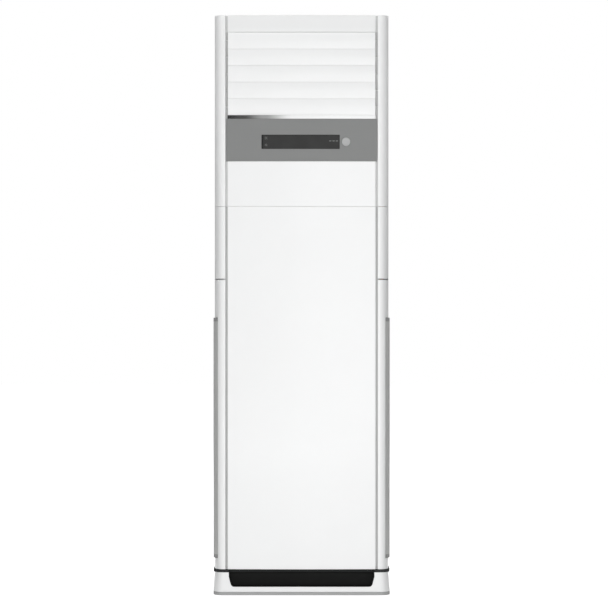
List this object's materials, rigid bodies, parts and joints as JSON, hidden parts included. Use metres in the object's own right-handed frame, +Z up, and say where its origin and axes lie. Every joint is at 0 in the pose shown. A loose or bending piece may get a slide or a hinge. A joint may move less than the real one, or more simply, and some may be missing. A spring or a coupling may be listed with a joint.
{
  "type": "floor standing air conditioner",
  "caption": "Tall white indoor cabinet that draws air in at its sides and blows it through a bank of swinging louvres above a grey control panel.",
  "frame": {"origin": "on the floor, under the middle of the base", "axes": "+Z up, +Y towards the rear wall, +X to the right as seen from the front; the front faces -Y"},
  "size_m": [0.54, 0.38, 1.77],
  "materials": {
    "white_gloss": "smooth white moulding with a soft gloss",
    "white_base": "smooth white moulding",
    "white_sheet": "white powder coat, fine texture",
    "control_grey": "warm grey satin plastic",
    "accent_band": "polished strip that reflects dark at one end",
    "smoke_window": "dark smoked window, glossy",
    "button_silver": "light grey, satin",
    "board_green": "solder-masked board",
    "base_steel": "grey coated steel",
    "toe_black": "black, fine grain",
    "seal_rubber": "dull dark rubber",
    "grille_grey": "grey moulded slats",
    "filter_blue": "woven net in a moulded frame",
    "galvanised": "zinc coated sheet",
    "wheel_plastic": "filled plastic, satin",
    "motor_black": "black coat",
    "liner_grey": "foam backed liner",
    "vane_grey": "light grey moulding",
    "step_motor": "plated can",
    "fin_aluminium": "thin bright fins",
    "copper_tube": "drawn copper tube",
    "terminal_black": "black moulding"
  },
  "bodies": {
    "cabinet": {"accent_strip": "accent_band", "base_gasket": "seal_rubber", "base_pan": "base_steel", "base_plinth": "white_base", "coil_bends": "copper_tube", "coil_end_plates": "galvanised", "coil_fins": "fin_aluminium", "control_panel": "control_grey", "corner_post_left": "white_gloss", "corner_post_right": "white_gloss", "display_board": "board_green", "display_window": "smoke_window", "drain_pan": "liner_grey", "duct_ceiling": "liner_grey", "duct_floor": "liner_grey", "duct_sides": "liner_grey", "electric_box": "galvanised", "fan_deck": "galvanised", "fan_motor": "motor_black", "front_baffle": "galvanised", "lower_front_panel": "white_gloss", "mid_columns": "white_gloss", "motor_bracket": "galvanised", "rear_plate": "white_sheet", "refrigerant_pipes": "copper_tube", "scroll_front_plate": "galvanised", "scroll_rear_plate": "galvanised", "scroll_wrap": "galvanised", "side_plate_left": "white_sheet", "side_plate_right": "white_sheet", "side_sills": "white_sheet", "swing_motors": "step_motor", "terminal_block": "terminal_black", "toe_panel": "toe_black", "top_cap": "white_gloss", "upper_column_left": "white_gloss", "upper_column_right": "white_gloss", "upper_fascia": "white_gloss", "wall_bracket": "galvanised"},
    "louvre_1": {"louvre_1": "white_gloss"},
    "louvre_2": {"louvre_2": "white_gloss"},
    "louvre_3": {"louvre_3": "white_gloss"},
    "louvre_4": {"louvre_4": "white_gloss"},
    "louvre_5": {"louvre_5": "white_gloss"},
    "louvre_link": {"louvre_link": "vane_grey"},
    "vane_1": {"vane_1": "vane_grey"},
    "vane_2": {"vane_2": "vane_grey"},
    "vane_3": {"vane_3": "vane_grey"},
    "vane_4": {"vane_4": "vane_grey"},
    "vane_5": {"vane_5": "vane_grey"},
    "vane_link": {"vane_link": "vane_grey"},
    "fan_wheel": {"fan_wheel": "wheel_plastic"},
    "power_button": {"power_button": "button_silver"},
    "side_grille_left": {"side_grille_left": "grille_grey", "air_filter_left": "filter_blue"},
    "side_grille_right": {"side_grille_right": "grille_grey", "air_filter_right": "filter_blue"}
  },
  "joints": [
    {"name": "louvre_1_hinge", "type": "hinge", "parent": "cabinet", "child": "louvre_1", "pos_m": [-0.2337, -0.18, 1.4903], "axis": [1, 0, 0], "range_deg": [0, 85]},
    {"name": "louvre_2_hinge", "type": "hinge", "parent": "cabinet", "child": "louvre_2", "pos_m": [-0.2337, -0.18, 1.5409], "axis": [1, 0, 0], "range_deg": [0, 85]},
    {"name": "louvre_3_hinge", "type": "hinge", "parent": "cabinet", "child": "louvre_3", "pos_m": [-0.2337, -0.18, 1.5915], "axis": [1, 0, 0], "range_deg": [0, 85]},
    {"name": "louvre_4_hinge", "type": "hinge", "parent": "cabinet", "child": "louvre_4", "pos_m": [-0.2337, -0.18, 1.6421], "axis": [1, 0, 0], "range_deg": [0, 85]},
    {"name": "louvre_5_hinge", "type": "hinge", "parent": "cabinet", "child": "louvre_5", "pos_m": [-0.2337, -0.18, 1.6927], "axis": [1, 0, 0], "range_deg": [0, 85]},
    {"name": "louvre_link_pin", "type": "hinge", "parent": "louvre_3", "child": "louvre_link", "pos_m": [-0.2405, -0.162, 1.5915], "axis": [1, 0, 0], "range_deg": [-85, 0]},
    {"name": "vane_1_hinge", "type": "hinge", "parent": "cabinet", "child": "vane_1", "pos_m": [-0.176, -0.12, 1.4553], "axis": [0, 0, 1], "range_deg": [-35, 35]},
    {"name": "vane_2_hinge", "type": "hinge", "parent": "cabinet", "child": "vane_2", "pos_m": [-0.088, -0.12, 1.4553], "axis": [0, 0, 1], "range_deg": [-35, 35]},
    {"name": "vane_3_hinge", "type": "hinge", "parent": "cabinet", "child": "vane_3", "pos_m": [0, -0.12, 1.4553], "axis": [0, 0, 1], "range_deg": [-35, 35]},
    {"name": "vane_4_hinge", "type": "hinge", "parent": "cabinet", "child": "vane_4", "pos_m": [0.088, -0.12, 1.4553], "axis": [0, 0, 1], "range_deg": [-35, 35]},
    {"name": "vane_5_hinge", "type": "hinge", "parent": "cabinet", "child": "vane_5", "pos_m": [0.176, -0.12, 1.4553], "axis": [0, 0, 1], "range_deg": [-35, 35]},
    {"name": "vane_link_pin", "type": "hinge", "parent": "vane_3", "child": "vane_link", "pos_m": [0, -0.142, 1.4472], "axis": [0, 0, 1], "range_deg": [-35, 35]},
    {"name": "fan_spin", "type": "hinge", "parent": "cabinet", "child": "fan_wheel", "pos_m": [0.03, 0.1, 0.6], "axis": [0, 1, 0], "continuous": true},
    {"name": "power_button_press", "type": "slide", "parent": "cabinet", "child": "power_button", "axis": [0, 1, 0], "range_m": [0, 0.0015], "stiffness_N_per_m": 300},
    {"name": "side_grille_left_pull", "type": "slide", "parent": "cabinet", "child": "side_grille_left", "axis": [-1, 0, 0], "range_m": [0, 0.03]},
    {"name": "side_grille_right_pull", "type": "slide", "parent": "cabinet", "child": "side_grille_right", "axis": [1, 0, 0], "range_m": [0, 0.03]}
  ],
  "couplings": [
    {"joint": "louvre_1_hinge", "follows": "louvre_3_hinge", "ratio": 1},
    {"joint": "louvre_2_hinge", "follows": "louvre_3_hinge", "ratio": 1},
    {"joint": "louvre_4_hinge", "follows": "louvre_3_hinge", "ratio": 1},
    {"joint": "louvre_5_hinge", "follows": "louvre_3_hinge", "ratio": 1},
    {"joint": "louvre_link_pin", "follows": "louvre_3_hinge", "ratio": -1},
    {"joint": "vane_1_hinge", "follows": "vane_3_hinge", "ratio": 1},
    {"joint": "vane_2_hinge", "follows": "vane_3_hinge", "ratio": 1},
    {"joint": "vane_4_hinge", "follows": "vane_3_hinge", "ratio": 1},
    {"joint": "vane_5_hinge", "follows": "vane_3_hinge", "ratio": 1},
    {"joint": "vane_link_pin", "follows": "vane_3_hinge", "ratio": -1}
  ]
}
